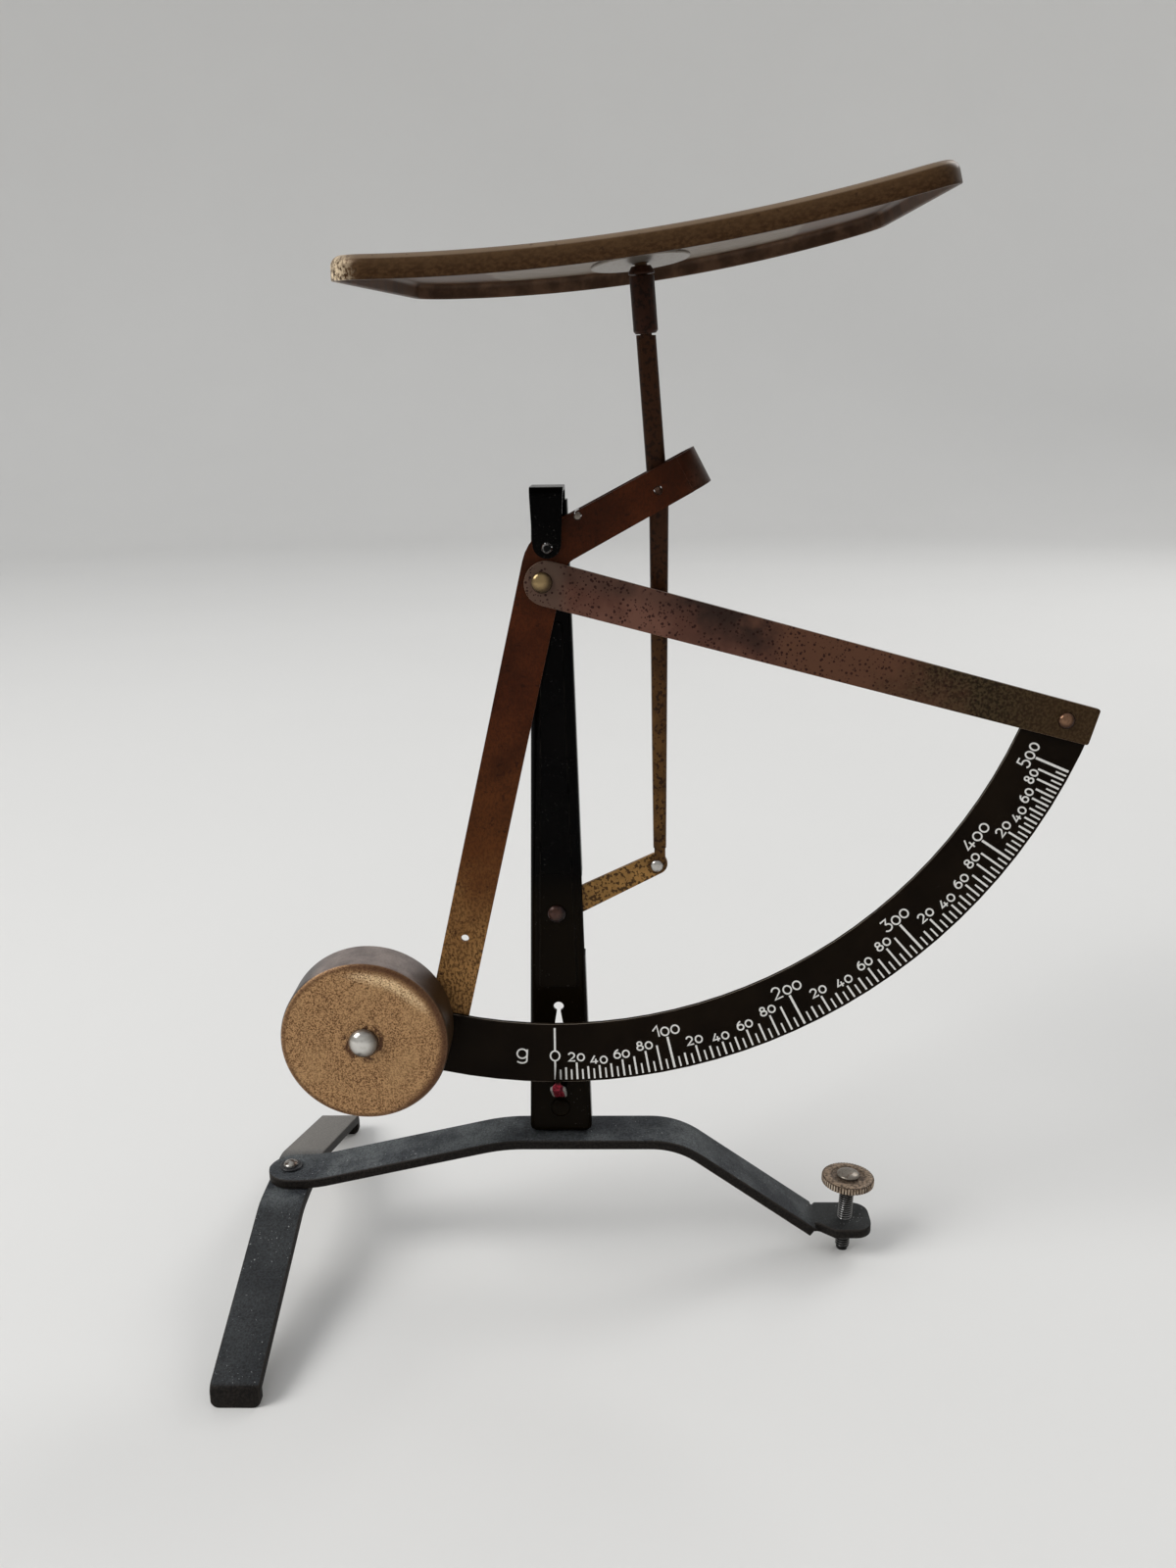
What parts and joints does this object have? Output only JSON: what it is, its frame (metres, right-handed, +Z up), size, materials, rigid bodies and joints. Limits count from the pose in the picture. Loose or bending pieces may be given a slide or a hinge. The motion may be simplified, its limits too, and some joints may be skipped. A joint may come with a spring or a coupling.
{
  "type": "letter scale",
  "caption": "Free-standing letter scale: a parallelogram balance with a curved tray, a counterweight and a printed dial quadrant that swings past a fixed pointer.",
  "frame": {"origin": "on the table, under the middle of the scale's box", "axes": "+Z up, +X to the reader's right along the base bar towards the levelling screw, -Y towards the reader, the way the dial faces"},
  "size_m": [0.212, 0.1318, 0.2743],
  "materials": {
    "black_lacquer": "gloss",
    "dial_black": "satin",
    "base_paint": "satin",
    "brown_lacquer": "gloss",
    "speckled_brass": "satin",
    "tray_bronze": "satin",
    "bright_steel": "satin",
    "brass": "satin",
    "dark_steel": "satin",
    "lead_grey": "matte"
  },
  "bodies": {
    "stand": {"base_bar": "base_paint", "post": "black_lacquer", "post_bracket": "black_lacquer", "post_bracket_rivet": "black_lacquer", "bracket_foot_rivet_left": "bright_steel", "bracket_foot_rivet_right": "bright_steel", "fulcrum_pin": "bright_steel", "link_post_rivet": "speckled_brass", "foot_rivet": "bright_steel"},
    "foot": {"cross_foot": "base_paint"},
    "screw_stud": {"levelling_stud": "dark_steel"},
    "screw_head": {"levelling_head": "speckled_brass"},
    "lever": {"lever": "brown_lacquer", "fork_spacer": "bright_steel", "fork_pin": "dark_steel", "scale_arm": "brown_lacquer", "scale_arm_inner_rivet": "brass", "scale_arm_outer_rivet": "brass", "scale_quadrant": "dial_black", "quadrant_lever_rivet": "bright_steel", "counterweight_shell": "speckled_brass", "counterweight_core": "lead_grey", "counterweight_rivet": "bright_steel"},
    "rod": {"tray_rod": "speckled_brass", "link_rod_rivet": "bright_steel"},
    "link": {"lower_link": "speckled_brass"},
    "tray": {"tray_sleeve": "brown_lacquer", "stem_collar": "brown_lacquer", "tray_boss_disc": "bright_steel", "tray": "tray_bronze", "tray_rivet": "tray_bronze"}
  },
  "joints": [
    {"name": "lever_pivot", "type": "hinge", "parent": "stand", "child": "lever", "pos_m": [-0.02477, -0.00215, 0.1958], "axis": [0, 1, 0], "range_deg": [-5, 67.5]},
    {"name": "rod_pivot", "type": "hinge", "parent": "lever", "child": "rod", "pos_m": [0.00115, -0.00215, 0.2085], "axis": [0, 1, 0], "range_deg": [-67.5, 5]},
    {"name": "lower_link_pivot", "type": "hinge", "parent": "stand", "child": "link", "pos_m": [-0.02477, -0.00215, 0.1009], "axis": [0, 1, 0], "range_deg": [-5, 67.5]},
    {"name": "tray_swivel", "type": "hinge", "parent": "rod", "child": "tray", "pos_m": [0.00115, -0.0079, 0.2085], "axis": [-0.0784, -0.0384, 0.9962], "continuous": true},
    {"name": "foot_swivel", "type": "hinge", "parent": "stand", "child": "foot", "pos_m": [-0.09997, 0.00085, 0.0252], "axis": [0, 0, 1], "range_deg": [-90, 90]},
    {"name": "screw_travel", "type": "slide", "parent": "stand", "child": "screw_stud", "axis": [0.0436, 0, 0.999], "range_m": [-0.0028, 0.0028]},
    {"name": "screw_turn", "type": "hinge", "parent": "screw_stud", "child": "screw_head", "pos_m": [0.05289, 0.00085, 0.00006], "axis": [0.0436, 0, 0.999], "range_deg": [-1440, 1440]}
  ],
  "couplings": [
    {"joint": "rod_pivot", "follows": "lever_pivot", "ratio": -1},
    {"joint": "lower_link_pivot", "follows": "lever_pivot", "ratio": 1},
    {"joint": "screw_turn", "follows": "screw_travel", "rad_per_m": 8976}
  ]
}
